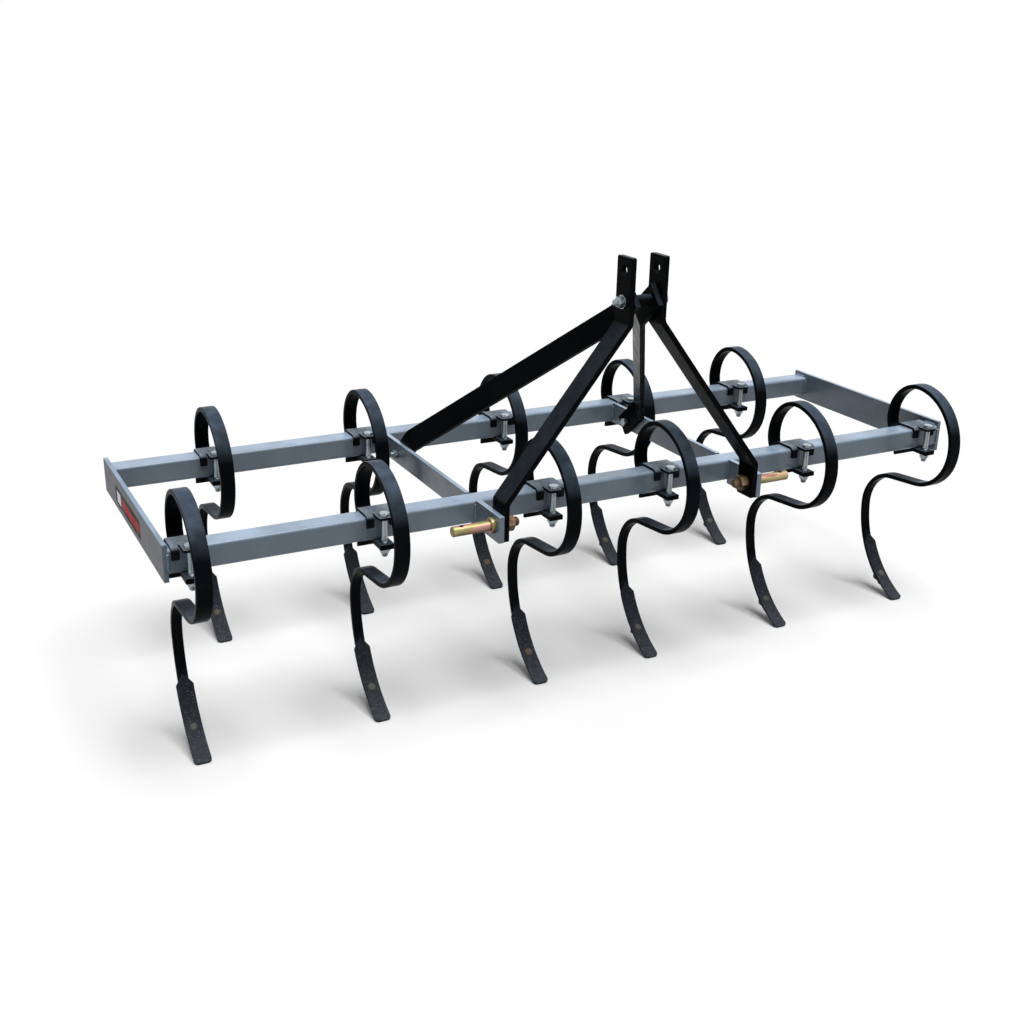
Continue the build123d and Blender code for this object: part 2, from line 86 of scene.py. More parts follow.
class Side(Enum):
    """Sides of the machine, as seen from the tractor's seat looking back."""

    LEFT = -1
    RIGHT = 1

    @property
    def label(self) -> str:
        """The side as the names of CAD nodes have it."""
        return self.name.lower()


# Materials


def srgb(code: str) -> tuple[float, float, float, float]:
    """Turn an sRGB hex colour into linear RGBA.

    Args:
        code: Colour as "#rrggbb".

    Returns:
        Linear red, green, blue and an alpha of 1.
    """
    parts = [int(code[i : i + 2], 16) / 255 for i in (1, 3, 5)]
    linear = [p / 12.92 if p <= 0.04045 else ((p + 0.055) / 1.055) ** 2.4 for p in parts]
    return (linear[0], linear[1], linear[2], 1.0)


def per_metre(size_mm: float) -> float:
    """Pattern scale whose features are this many millimetres across."""
    return 1000 / size_mm


def add_node(
    tree: Tree, kind: str, inputs: Inputs | Sequence[object] = (), **settings: object
) -> Node:
    """Add one shader node.

    Args:
        tree: Node tree that gets the node.
        kind: Blender's name of the node type, without "ShaderNode".
        inputs: A value, an output or a whole node, for its result, in order or by input.
        **settings: Its properties; "stops" fills a colour ramp with places and hex colours.

    Returns:
        The new node.
    """
    made = tree.nodes.new(f"ShaderNode{kind}")
    for key, value in settings.items():
        if key == "stops":
            stops = made.color_ramp.elements
            while len(stops) < len(value):
                stops.new(0.5)
            for stop, (place, code) in zip(stops, value):
                stop.position = place
                stop.color = srgb(code)
        else:
            setattr(made, key, value)
    for key, value in inputs.items() if isinstance(inputs, dict) else enumerate(inputs):
        if isinstance(value, bpy.types.Node):
            value = value.outputs[MIX_RESULT if value.bl_idname == "ShaderNodeMix" else 0]
        if isinstance(value, bpy.types.NodeSocket):
            tree.links.new(value, made.inputs[key])
        else:
            made.inputs[key].default_value = value
    return made


def patches(
    tree: Tree, where: Socket, size_mm: float, span: Span, out: Span, **noise: float
) -> Node:
    """Let a value vary in patches of one size.

    Args:
        tree: Node tree of the material.
        where: Object coordinates, in metres.
        size_mm: Size of the patches.
        span: Values of the noise between which it changes.
        out: Its own values there.
        **noise: Further inputs of the noise.

    Returns:
        The node that gives the value.
    """
    cloud = add_node(tree, "TexNoise", {"Vector": where, "Scale": per_metre(size_mm), **noise})
    return add_node(tree, "MapRange", (cloud, *span, *out))


def facing(tree: Tree, start: float, full: float, most: float = 1.0) -> Node:
    """Mask faces by how far they look up.

    Args:
        tree: Node tree of the material.
        start: Upward part of the normal where the mask is 0.
        full: Upward part of the normal where it is full.
        most: The mask's value there.

    Returns:
        The node that gives the mask.
    """
    normal = add_node(tree, "NewGeometry").outputs["Normal"]
    up = add_node(tree, "SeparateXYZ", (normal,)).outputs["Z"]
    return add_node(tree, "MapRange", (up, start, full, 0.0, most))


def emptied(owner: bpy.types.Material | bpy.types.World) -> Tree:
    """Node tree of a material or world, with nothing in it."""
    owner.use_nodes = True
    owner.node_tree.nodes.clear()
    return owner.node_tree


@dataclass(frozen=True)
class Finish:
    """What every finish has: a name and a slot."""

    name: str
    slot: Slot

    def material(self) -> bpy.types.Material:
        """Build the material once.

        Returns:
            The material of this name, new or already made.
        """
        known = bpy.data.materials.get(self.name)
        if known:
            return known
        made = bpy.data.materials.new(self.name)
        tree = emptied(made)
        inputs, layers = self.coat(tree, add_node(tree, "TexCoord").outputs["Object"])
        for mask, code in layers:
            inputs["Base Color"] = add_node(
                tree, "Mix", {0: mask, 6: inputs["Base Color"], 7: srgb(code)}, data_type="RGBA"
            )
        add_node(tree, "OutputMaterial", (add_node(tree, "BsdfPrincipled", inputs),))
        return made

    def coat(self, tree: Tree, where: Socket) -> tuple[Inputs, Layers]:
        """Lay out the surface and the flat colours over it.

        Args:
            tree: Node tree of the material.
            where: Object coordinates, in metres.

        Returns:
            Inputs of the Principled BSDF, and the layers over its colour.
        """
        raise NotImplementedError


@dataclass(frozen=True)
class SprayedEnamel(Finish):
    """Alkyd enamel sprayed on welded mild steel: satin, faintly peeled, thin at places."""

    name: str = "alkyd_enamel_sprayed_blue_grey"
    slot: Slot = Slot.FRAME_PAINT
    body: str = "#5b6671"
    thin: str = "#54606a"
    # The pale film on top faces is dust, and a painted sheen where the light from above falls on
    # them
    dust: str = "#aec4dd"
    fleck: str = "#353c43"
    ior: float = 1.4
    gloss: float = 0.18         # roughness of the glossy and of the dull patches
    dull: float = 0.32
    sheen_mm: float = 45.0      # size of those patches
    peeled: float = 0.06
    dusted: float = 0.75        # how much of a top face the pale film of dust and painted sheen covers at most
    cloud_mm: float = 140.0     # thick and thin passes of the spray gun
    peel_mm: float = 3.0        # orange peel, drawn a little coarse so that it shows
    fleck_mm: float = 9.0       # nicks and spatter under the paint
    fleck_at: float = 0.70      # noise above this is a nick: less gives more of them
    dust_mm: float = 90.0       # soft patches in the dust and the painted sheen

    def coat(self, tree: Tree, where: Socket) -> tuple[Inputs, Layers]:
        """Lay out clouds, sheen and orange peel, then dark nicks and a pale film of dust and
        painted sheen on top faces.

        Args:
            tree: Node tree of the material.
            where: Object coordinates, in metres.

        Returns:
            Inputs of the Principled BSDF, and the layers over its colour.
        """
        cloud = add_node(
            tree, "TexNoise",
            {"Vector": where, "Scale": per_metre(self.cloud_mm), "Detail": 4.0, "Roughness": 0.6},
        )
        peel = add_node(
            tree, "TexNoise", {"Vector": where, "Scale": per_metre(self.peel_mm), "Detail": 2.0}
        )
        inputs = {
            "Base Color": add_node(
                tree, "ValToRGB", (cloud,), stops=((0.38, self.thin), (0.62, self.body))
            ),
            "Roughness": patches(
                tree, where, self.sheen_mm, NOISE_MIDDLE, (self.gloss, self.dull), Detail=3.0
            ),
            "Normal": add_node(
                tree, "Bump", {"Height": peel, "Strength": self.peeled, "Distance": 0.3 * MM}
            ),
            "IOR": self.ior,
        }
        nicks = patches(
            tree, where, self.fleck_mm, (self.fleck_at, self.fleck_at + 0.06), (0.0, 0.6),
            Detail=5.0, Roughness=0.7,
        )
        # Top faces paler: dust, and a painted sheen for the light that falls on them
        dust_and_sheen_cover = patches(
            tree, where, self.dust_mm, NOISE_MIDDLE, (0.6 * self.dusted, self.dusted), Detail=3.0
        )
        film = add_node(tree, "Math", (facing(tree, 0.30, 0.95), dust_and_sheen_cover), operation="MULTIPLY")
        return inputs, [(nicks, self.fleck), (film, self.dust)]


@dataclass(frozen=True)
class DecalledEnamel(SprayedEnamel):
    """The same enamel, duller, with a plain vinyl decal on the outer face of an end plate."""

    name: str = "alkyd_enamel_with_plain_vinyl_decal"
    centre: tuple[float, float, float] = (0.0, 0.0, 0.0)
    half_length: float = 0.122
    half_height: float = 0.021
    corner: float = 0.010
    ground: str = "#0b0c0e"
    outer_face_tone: str = "#858281"    # paler, browner tone laid over the whole outer face
    outer_face_tone_share: float = 0.5         # how much that film covers
    # Plain blocks of colour: from and to along the decal's middle line, half height, colour
    blocks: tuple[tuple[float, float, float, str], ...] = (
        (-0.112, 0.060, 0.0105, "#9c0c13"),
        (0.068, 0.108, 0.0135, "#d5d8da"),
    )
    gloss: float = 0.50
    dull: float = 0.62
    ior: float = 1.15

    def panel(self, tree: Tree, axes: Node, face: Node) -> Node:
        """Mask the decal's panel with rounded corners.

        Args:
            tree: Node tree of the material.
            axes: Separate XYZ node of the Object coordinates.
            face: Mask of the plate's outer face.

        Returns:
            The node that gives 1 inside the panel and 0 outside.
        """
        squares = []
        for axis, middle, half in (
            ("Y", self.centre[1], self.half_length), ("Z", self.centre[2], self.half_height)
        ):
            reach = axes.outputs[axis]
            for operation, number in (
                ("SUBTRACT", middle), ("ABSOLUTE", 0.0), ("SUBTRACT", half - self.corner),
                ("MAXIMUM", 0.0), ("POWER", 2.0),
            ):
                reach = add_node(tree, "Math", (reach, number), operation=operation)
            squares.append(reach)
        total = add_node(tree, "Math", squares, operation="ADD")
        inside = add_node(tree, "Math", (total, self.corner**2), operation="LESS_THAN")
        return add_node(tree, "Math", (inside, face), operation="MULTIPLY")

    def coat(self, tree: Tree, where: Socket) -> tuple[Inputs, Layers]:
        """Lay the paler tone on the outer face, the decal's ground and its blocks over the enamel.

        Args:
            tree: Node tree of the material.
            where: Object coordinates, in metres.

        Returns:
            Inputs of the Principled BSDF, and the layers over its colour.
        """
        inputs, layers = super().coat(tree, where)
        axes = add_node(tree, "SeparateXYZ", (where,))
        edge = self.centre[0] + 1 * MM
        face = add_node(tree, "Math", (axes.outputs["X"], edge), operation="LESS_THAN")
        film = add_node(tree, "Math", (face, self.outer_face_tone_share), operation="MULTIPLY")
        field = self.panel(tree, axes, face)
        layers += [(film, self.outer_face_tone), (field, self.ground)]
        for start, end, half, code in self.blocks:
            block = field
            for axis, middle, reach in (
                ("Z", self.centre[2] - 1 * MM, half),
                ("Y", self.centre[1] + (start + end) / 2, (end - start) / 2),
            ):
                across = axes.outputs[axis]
                band = add_node(tree, "Math", (across, middle, reach), operation="COMPARE")
                block = add_node(tree, "Math", (block, band), operation="MULTIPLY")
            layers.append((block, code))
        return inputs, layers


@dataclass(frozen=True)
class BlackEnamel(SprayedEnamel):
    """Black enamel on bent and pressed steel: deep gloss, with dust and a painted bluish sheen on
    top faces, and small chips.
    """

    name: str = "black_enamel_dipped_gloss"
    slot: Slot = Slot.BLACK_PAINT
    body: str = "#050607"
    thin: str = "#090b0d"
    # Top faces paler and bluer: dust, and a painted sheen of the light from above
    dust: str = "#414c58"
    fleck: str = "#4c4f52"
    gloss: float = 0.18
    dull: float = 0.30
    peeled: float = 0.10
    dusted: float = 0.60
    dust_mm: float = 30.0
    fleck_mm: float = 4.0
    fleck_at: float = 0.67
    ior: float = 1.055          # keeps a white studio's reflection as dark as the real paint's


@dataclass(frozen=True)
class WornPointSteel(SprayedEnamel):
    """Forged boron steel, painted and dragged through soil: blue-grey, dusty and scuffed."""

    name: str = "boron_steel_forged_dusty"
    slot: Slot = Slot.POINT_STEEL
    body: str = "#1b2028"
    thin: str = "#13161a"
    # A thin film of dust and painted sheen on the blade's upward faces
    dust: str = "#5b6068"
    fleck: str = "#868c93"
    # Pale colour of the scuffs, and of the painted highlight of the ridge along the rub line
    scuff_and_ridge_highlight: str = "#5a616a"
    ior: float = 1.12
    gloss: float = 0.45
    dull: float = 0.70
    peeled: float = 0.50
    dusted: float = 0.30
    cloud_mm: float = 11.0
    fleck_mm: float = 3.4       # grit that sticks to the blade
    fleck_at: float = 0.60
    dust_mm: float = 7.0
    streak_mm: float = 6.0      # broken edges of the wear
    # Wear on the ridge, where the same line is a painted highlight of the ridge, and at the lower
    # end:
    # the blade's attribute that it follows, the values of it where the wear starts and is full, and
    # how much it covers there
    wear_and_highlight_marks: tuple[tuple[str, Span, float], ...] = (
        ("off_ridge", (0.16, 0.02), 0.6),
        ("along", (0.45, 1.1), 0.6),
    )

    def coat(self, tree: Tree, where: Socket) -> tuple[Inputs, Layers]:
        """Lay the rub line on the right half, also a painted ridge highlight, and the scuffed lower
        end over the paint.

        Args:
            tree: Node tree of the material.
            where: Object coordinates, in metres.

        Returns:
            Inputs of the Principled BSDF, and the layers over its colour.
        """
        inputs, layers = super().coat(tree, where)
        for follows, reach, most in self.wear_and_highlight_marks:
            value = add_node(tree, "Attribute", attribute_name=follows).outputs["Fac"]
            grown = add_node(tree, "MapRange", (value, *reach, 0.0, most))
            broken = patches(
                tree, where, self.streak_mm, (0.44, 0.64), (0.0, 1.0),
                Detail=6.0, Roughness=0.75, Distortion=0.4,
            )
            wear_and_highlight = add_node(tree, "Math", (grown, broken), operation="MULTIPLY")
            layers.append((wear_and_highlight, self.scuff_and_ridge_highlight))
        return inputs, layers


@dataclass(frozen=True)
class Plating(Finish):
    """Electroplated zinc on turned and cold-headed steel: bright, with a soft grain."""

    name: str = "zinc_electroplate_bright"
    slot: Slot = Slot.ZINC
    tones: tuple[str, ...] = ("#a0aeb4", "#b2c0c5", "#c4d0d5")
    tone_from: float = 0.36     # noise at the first tone, and from there to the last one
    tone_span: float = 0.28
    tone_mm: float = 30.0
    drawn: float = 1.0          # under 1 draws the tones out along X, as on a turned pin
    gloss: float = 0.27
    dull: float = 0.36
    metal: float = 1.0
    grain: float = 0.02
    grain_mm: float = 1.2
    # Painted shade: sides and undersides darker, for the light they lack and the dark they reflect
    painted_shade: str = "#1d2426"
    painted_shade_share: float = 0.8         # how much of an underside the painted shade covers
    painted_shade_from: float = 0.9     # upward part of the normal below which it begins

    def coat(self, tree: Tree, where: Socket) -> tuple[Inputs, Layers]:
        """Lay out drifting tones, sheen and grain, then painted shade on sides and undersides.

        Args:
            tree: Node tree of the material.
            where: Object coordinates, in metres.

        Returns:
            Inputs of the Principled BSDF, and the layers over its colour.
        """
        along = add_node(tree, "Mapping", {"Vector": where, "Scale": (self.drawn, 1.0, 1.0)})
        drift = add_node(
            tree, "TexNoise",
            {"Vector": along, "Scale": per_metre(self.tone_mm), "Detail": 2.0, "Distortion": 0.4},
        )
        last = len(self.tones) - 1
        stops = [
            (self.tone_from + self.tone_span * i / last, code) for i, code in enumerate(self.tones)
        ]
        grain = add_node(
            tree, "TexNoise", {"Vector": where, "Scale": per_metre(self.grain_mm), "Detail": 2.0}
        )
        inputs = {
            "Base Color": add_node(tree, "ValToRGB", (drift,), stops=stops),
            "Roughness": add_node(tree, "MapRange", (drift, 0.3, 0.7, self.gloss, self.dull)),
            "Normal": add_node(
                tree, "Bump", {"Height": grain, "Strength": self.grain, "Distance": 0.1 * MM}
            ),
            "Metallic": self.metal,
        }
        # Sides and undersides darkened: painted shade
        return inputs, [(facing(tree, self.painted_shade_from, -0.7, self.painted_shade_share), self.painted_shade)]


ENAMEL = SprayedEnamel()
# Over a weld the same enamel lies in short waves, and its peel shows more
WELD = SprayedEnamel(name="alkyd_enamel_over_weld", peel_mm=1.6, cloud_mm=12.0, peeled=0.2)
BLACK = BlackEnamel()
# On spring steel the black carries a paler and fuller film of dust and painted sheen on its top
# faces
SPRING = BlackEnamel(
    name="black_enamel_on_spring_steel", slot=Slot.SPRING_BLACK, body="#06080a",
    thin="#0b0e11", dust="#5a6879", fleck="#5a5d5f", gloss=0.20, dull=0.32, dusted=0.75,
)
# On pressed steel it is greyer and duller, with the most dust and painted sky reflection on its top
# faces, in fine patches
CLAMP_BLACK = BlackEnamel(
    name="black_enamel_on_pressed_steel", body="#0b0c0e", thin="#14171a", dust="#a2b0c0",
    gloss=0.24, dull=0.40, dusted=0.85, dust_mm=7.0, fleck_mm=5.0,
)
POINT = WornPointSteel()
ZINC = Plating()
# Yellow chromate, new on the pins and browned on their nuts: it bands pink, yellow and green
YELLOW_ZINC = Plating(
    name="yellow_chromate_on_zinc", slot=Slot.YELLOW_ZINC,
    tones=("#a97a6c", "#d0a592", "#c3b27e", "#8f9858", "#c09084"), tone_mm=19.0, drawn=0.25,
    gloss=0.30, dull=0.40, metal=0.85, painted_shade="#2e290b", painted_shade_share=0.97, painted_shade_from=0.50,
)
BROWN_ZINC = Plating(
    name="yellow_chromate_aged_on_nut", slot=Slot.YELLOW_ZINC,
    tones=("#634a3e", "#7f6351", "#96785f", "#736b45", "#6b5143"), tone_mm=24.0, gloss=0.34,
    dull=0.46, metal=0.85, painted_shade="#241b14", painted_shade_share=0.9, painted_shade_from=0.75,
)
# Headed steel that weathers bolt by bolt: dull khaki grey on most, brown rust on some
RUSTED = Plating(
    name="carbon_steel_headed_rusted", slot=Slot.BOLT_STEEL,
    tones=("#2b2a28", "#45433d", "#4a443a", "#5e4022"), tone_mm=60.0, gloss=0.5, dull=0.8,
    metal=0.2, grain=0.3, painted_shade_share=0.2,
)


# Modelling helpers


def clear_selection() -> None:
    """Leave edit mode and deselect every object."""
    if bpy.context.object and bpy.context.object.mode != "OBJECT":
        bpy.ops.object.mode_set(mode="OBJECT")
    bpy.ops.object.select_all(action="DESELECT")


def take(piece: Piece) -> None:
    """Select one piece alone and make it active."""
    clear_selection()
    piece.select_set(True)
    bpy.context.view_layer.objects.active = piece


def named(name: str, scale: tuple[float, float, float] | None = None) -> Piece:
    """Name the primitive just added and write its place and scale into its mesh.

    Args:
        name: Name of the piece.
        scale: Its scale, or None to leave it.

    Returns:
        The piece.
    """
    piece = bpy.context.object
    piece.name = name
    if scale:
        piece.scale = scale
    take(piece)
    bpy.ops.object.transform_apply(location=True, rotation=True, scale=True)
    return piece


@contextmanager
def editing(piece: Piece, outward: bool = False) -> Iterator[None]:
    """Work on one piece in edit mode, with the whole mesh selected at the start.

    Args:
        piece: The piece.
        outward: Whether to turn all faces outward at the end.

    Yields:
        Nothing.
    """
    take(piece)
    bpy.ops.object.mode_set(mode="EDIT")
    bpy.ops.mesh.select_all(action="SELECT")
    yield
    if outward:
        bpy.ops.mesh.select_all(action="SELECT")
        bpy.ops.mesh.normals_make_consistent(inside=False)
    bpy.ops.object.mode_set(mode="OBJECT")


def use_modifier(piece: Piece, kind: str, **settings: object) -> None:
    """Add a modifier and apply it.

    Args:
        piece: The piece that gets it.
        kind: Blender's modifier type.
        **settings: The modifier's properties.
    """
    take(piece)
    added = piece.modifiers.new(kind.lower(), kind)
    for key, value in settings.items():
        setattr(added, key, value)
    bpy.ops.object.modifier_apply(modifier=added.name)


def cut(piece: Piece, tool: Piece, operation: str) -> None:
    """Join a piece with a tool by a boolean operation, and remove the tool."""
    use_modifier(piece, "BOOLEAN", operation=operation, object=tool, solver="EXACT")
    discard(tool)


def placing(spot: Vector | Sequence[float], angle: float, axis: str) -> Matrix:
    """Matrix that turns a mesh about an axis and then moves it to a spot."""
    return Matrix.Translation(spot) @ Matrix.Rotation(angle, 4, axis)


def turned(name: str, stations: Sequence[Station], sides: int = 32) -> Piece:
    """Turn a round piece along +Z, as on a lathe.

    Args:
        name: Name of the piece.
        stations: Heights and radii, from the lower end up.
        sides: Faces round the piece.

    Returns:
        The closed piece.
    """
    clear_selection()
    height, radius = stations[0]
    bpy.ops.mesh.primitive_circle_add(
        vertices=sides, radius=radius, fill_type="NGON", location=(0, 0, height)
    )
    piece = named(name)
    with editing(piece, outward=True):
        for next_height, next_radius in stations[1:]:
            bpy.ops.mesh.extrude_region_move(
                TRANSFORM_OT_translate={"value": (0, 0, next_height - height)}
            )
            share = next_radius / radius
            if abs(share - 1) > 1e-6:
                bpy.ops.transform.resize(
                    value=(share, share, 1), center_override=(0, 0, next_height)
                )
            height, radius = next_height, next_radius
    return piece


def thread(start: float, end: float, radius: float, pitch: float) -> list[Station]:
    """Stations of a screw thread's ridges.

    Args:
        start: Height of the thread's lower end.
        end: Height of its upper end.
        radius: Outer radius.
        pitch: Distance between ridges.

    Returns:
        Heights and radii for turned().
    """
    count = max(2, round((end - start) / pitch))
    step = (end - start) / count
    depth = 0.42 * pitch
    made = []
    for i in range(count):
        base = start + i * step
        made += [(base, radius - depth), (base + 0.36 * step, radius), (base + 0.64 * step, radius)]
    return made + [(end, radius - depth)]


def disc(low: float, high: float, radius: float, edge: float) -> tuple[Station, ...]:
    """Stations of a washer between two heights, with its edges cut back."""
    return (
        (low, radius - edge), (low + edge, radius), (high - edge, radius), (high, radius - edge)
    )


def hexagon(name: str, low: float, high: float, flats: float, crowned: bool = True) -> Piece:
    """Head a hexagon along +Z, its corners cut back by a cone as on a real head or nut.

    Args:
        name: Name of the piece.
        low: Height of its lower face.
        high: Height of its upper face.
        flats: Width across the flats.
        crowned: Whether only the upper corners are cut, as on a bolt's head.

    Returns:
        The closed piece.
    """
    clear_selection()
    bpy.ops.mesh.primitive_cylinder_add(
        vertices=6, radius=flats / math.sqrt(3), depth=high - low, location=(0, 0, (low + high) / 2)
    )
    piece = named(name)
    # The cone meets the face inside the flats and passes outside the corners lower down
    inner, outer, slope = 0.47 * flats, 0.60 * flats, 0.075 * flats
    stations = [(high - slope, outer), (high + HAIR, inner)]
    if crowned:
        stations.insert(0, (low - HAIR, outer))
    else:
        stations = [(low - HAIR, inner), (low + slope, outer)] + stations
    cut(piece, turned(f"{name}_cone", stations, 48), "INTERSECT")
    return piece


def join(name: str, parts: Sequence[Piece]) -> Piece:
    """Join several parts into one piece with this name."""
    clear_selection()
    for part in parts:
        part.select_set(True)
    bpy.context.view_layer.objects.active = parts[0]
    bpy.ops.object.join()
    joined = bpy.context.object
    joined.name = name
    return joined


def copy_of(piece: Piece, name: str, place: Matrix | None = None) -> Piece:
    """Copy a piece with its own mesh and put the copy in its place.

    Args:
        piece: The model piece.
        name: Name of the copy.
        place: Where it goes, or None to leave it.

    Returns:
        The copy, with its place in its mesh.
    """
    made = piece.copy()
    made.data = piece.data.copy()
    made.name = name
    made.data.name = name
    bpy.context.scene.collection.objects.link(made)
    if place is not None:
        made.data.transform(place)
    return made


def discard(piece: Piece) -> None:
    """Remove a model piece once its copies are made."""
    bpy.data.objects.remove(piece, do_unlink=True)


def fit_out(
    piece: Piece, finish: Finish, nodes: Sequence[str] = (), smooth_deg: float = 25.0
) -> Piece:
    """Give a piece its shading and finish, attach it to the body and hide the CAD nodes that it
    stands for.

    Args:
        piece: The finished piece.
        finish: Its finish.
        nodes: CAD nodes that it replaces.
        smooth_deg: Edges sharper than this stay sharp.

    Returns:
        The same piece.
    """
    take(piece)
    bpy.ops.object.shade_smooth_by_angle(angle=math.radians(smooth_deg))
    use_modifier(piece, "WEIGHTED_NORMAL", keep_sharp=True)
    piece.data.materials.clear()
    piece.data.materials.append(finish.material())
    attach(piece, BODY)
    if nodes:
        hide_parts(*nodes)
    log.info("%s: %d faces, %s", piece.name, len(piece.data.polygons), finish.name)
    return piece


def eased_copy(node: str, width_mm: float, finish: Finish) -> Piece:
    """Stand a copy with rounded edges in for a CAD node with sharp ones.

    Args:
        node: The CAD node.
        width_mm: Width of the rounded edges.
        finish: Finish of the copy.

    Returns:
        The piece that replaces the node.
    """
    piece = copy_of(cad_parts[node], f"{node}_eased")
    for key in list(piece.keys()):
        del piece[key]
    piece.parent = None
    with editing(piece):
        bpy.ops.mesh.remove_doubles(threshold=0.005 * MM)
        bpy.ops.mesh.dissolve_limited(angle_limit=math.radians(0.5))
    use_modifier(
        piece, "BEVEL", width=width_mm * MM, segments=3, limit_method="ANGLE",
        angle_limit=math.radians(40), use_clamp_overlap=True, harden_normals=False,
    )
    return fit_out(piece, finish, (node,), 35)


def middle_of(node: str) -> Vector:
    """Middle of a CAD node's box."""
    low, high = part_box(node)
    return (low + high) / 2


def paint_node(node: str, finish: Finish) -> None:
    """Give a CAD node that stays its finish."""
    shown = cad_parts[node]
    shown.data.materials.clear()
    shown.data.materials.append(finish.material())
    log.info("%s: CAD node, %s", node, finish.name)


# Sub-assemblies


@dataclass
class Toolframe:
    """The welded frame: two square tubes, end plates, cross plates, lugs and welds."""

    tube: float = 50.8 * MM
    tube_corner: float = 8.0 * MM
    edge_mm: float = 1.0
    bead_radius: float = 3.6 * MM
    ripple: float = 3.4 * MM
    decal_back: float = 0.564   # share of the end plate's length ahead of the decal's middle
    decal_drop: float = 4 * MM  # from the plate's middle down to the decal's

    def bead(self, name: str, length: float) -> Piece:
        """Lay one rippled weld bead along +Z, centred on the origin.

        Args:
            name: Name of the bead.
            length: Its length.

        Returns:
            The closed bead.
        """
        count = max(3, round(length / self.ripple))
        step = length / count
        low = -length / 2
        stations = [(low, 0.35 * self.bead_radius), (low + 0.2 * step, 0.8 * self.bead_radius)]
        for i in range(count):
            base = low + i * step
            stations.append((base + 0.35 * step, self.bead_radius * (1.0 + 0.08 * (i % 2))))
            stations.append((base + 0.85 * step, 0.84 * self.bead_radius))
        stations.append((-low, 0.35 * self.bead_radius))
        return turned(name, stations, 12)

    def weld_set(self, name: str, runs: Sequence[Run]) -> None:
        """Lay a bead along each run and join them into one piece.

        Args:
            name: Name of the piece.
            runs: Start and end of each bead.
        """
        beads = []
        for i, (start, end) in enumerate(runs):
            along = end - start
            bead = self.bead(f"{name}_{i}", along.length)
            turn = along.to_track_quat("Z", "Y").to_matrix().to_4x4()
            bead.data.transform(Matrix.Translation((start + end) / 2) @ turn)
            beads.append(bead)
        fit_out(join(name, beads), WELD, smooth_deg=60)

    def build(self) -> None:
        """Dress the tubes, ease the plates' edges and lay the welds."""
        for node in ("front_toolbar", "rear_toolbar"):
            paint_node(node, ENAMEL)
        low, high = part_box("end_plate_left")
        back = low.y + self.decal_back * (high.y - low.y)
        decal = DecalledEnamel(centre=(low.x, back, (low.z + high.z) / 2 - self.decal_drop))
        eased_copy("end_plate_left", self.edge_mm, decal)
        eased_copy("end_plate_right", self.edge_mm, ENAMEL)
        for side in Side:
            eased_copy(f"cross_plate_{side.label}", self.edge_mm, ENAMEL)
            eased_copy(f"lug_{side.label}", self.edge_mm, ENAMEL)
            self.weld_side(side)

    @staticmethod
    def run(x: float, y: float, z: float, along_y: float = 0.0, along_z: float = 0.0) -> Run:
        """Ends of a bead that reaches this far to both sides of its middle."""
        return Vector((x, y - along_y, z - along_z)), Vector((x, y + along_y, z + along_z))

    def weld_side(self, side: Side) -> None:
        """Lay all welds of one side: round the tubes' ends and up both cross plate faces."""
        half = self.tube / 2
        flat = half - self.tube_corner
        front, rear = middle_of("front_toolbar"), middle_of("rear_toolbar")
        wall = side.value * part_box("front_toolbar")[1].x
        ends = []
        for bar in (front, rear):
            ends += [self.run(wall, bar.y + y, bar.z, along_z=flat) for y in (-half, half)]
            ends += [self.run(wall, bar.y, bar.z + z, along_y=flat) for z in (half, -half)]
        self.weld_set(f"weld_beads_end_{side.label}", ends)
        low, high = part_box(f"cross_plate_{side.label}")
        uprights = [
            self.run(x, y, front.z, along_z=flat)
            for x in (low.x, high.x) for y in (low.y, high.y, front.y - half)
        ]
        self.weld_set(f"weld_beads_cross_{side.label}", uprights)


@dataclass
class Fastener:
    """A bolt with a hexagon head, its nut, thread and washers, along +Z from the head."""

    radius: float
    grip: float
    head: tuple[float, float]   # width across the flats and height, as for the nut
    nut: tuple[float, float]
    stub: float = 7.0 * MM
    washer: tuple[float, float] | None = None   # radius and thickness
    pitch: float = 1.9 * MM
    plain: float = 0.0          # length of smooth shank under the head
    ring: float = 0.0           # height of the locking collar at the nut's outer end
    head_shown: float = 0.9     # share of the head's height that is modelled
    edge: float = 0.3 * MM      # cut back from the washers' edges

    def model(self, name: str) -> Piece:
        """Model the bolt with the underside of its head at the origin.

        Args:
            name: Name of the piece.

        Returns:
            The joined bolt, nut and washers.
        """
        lead = self.washer[1] if self.washer else 0.0
        nut_low = self.grip + lead
        end = nut_low + self.nut[1] + self.stub
        stations = [(-lead, self.radius), (self.plain, self.radius)] if self.plain else []
        stations += thread(max(self.plain, -lead), end - 1.2 * MM, self.radius, self.pitch)
        stations.append((end, 0.72 * self.radius))
        parts = [turned(f"{name}_shank", stations, 20)]
        head = hexagon(f"{name}_head", 0, self.head[1] * self.head_shown, self.head[0])
        head.data.transform(placing((0, 0, -lead), math.pi, "X"))
        parts.append(head)
        nut_high = nut_low + self.nut[1] - self.ring
        parts.append(hexagon(f"{name}_nut", nut_low, nut_high, self.nut[0], False))
        if self.ring:
            wide = 0.45 * self.nut[0]
            collar = (
                (nut_high - 0.2 * MM, wide), (nut_high + 0.6 * self.ring, wide),
                (nut_high + 0.9 * self.ring, 0.9 * wide), (nut_high + self.ring, 0.82 * wide),
            )
            parts.append(turned(f"{name}_collar", collar, 36))
        if self.washer:
            reach, thick = self.washer
            for low in (-thick, self.grip):
                shape = disc(low, low + thick, reach, self.edge)
                parts.append(turned(f"{name}_washer", shape, 36))
        return join(name, parts)


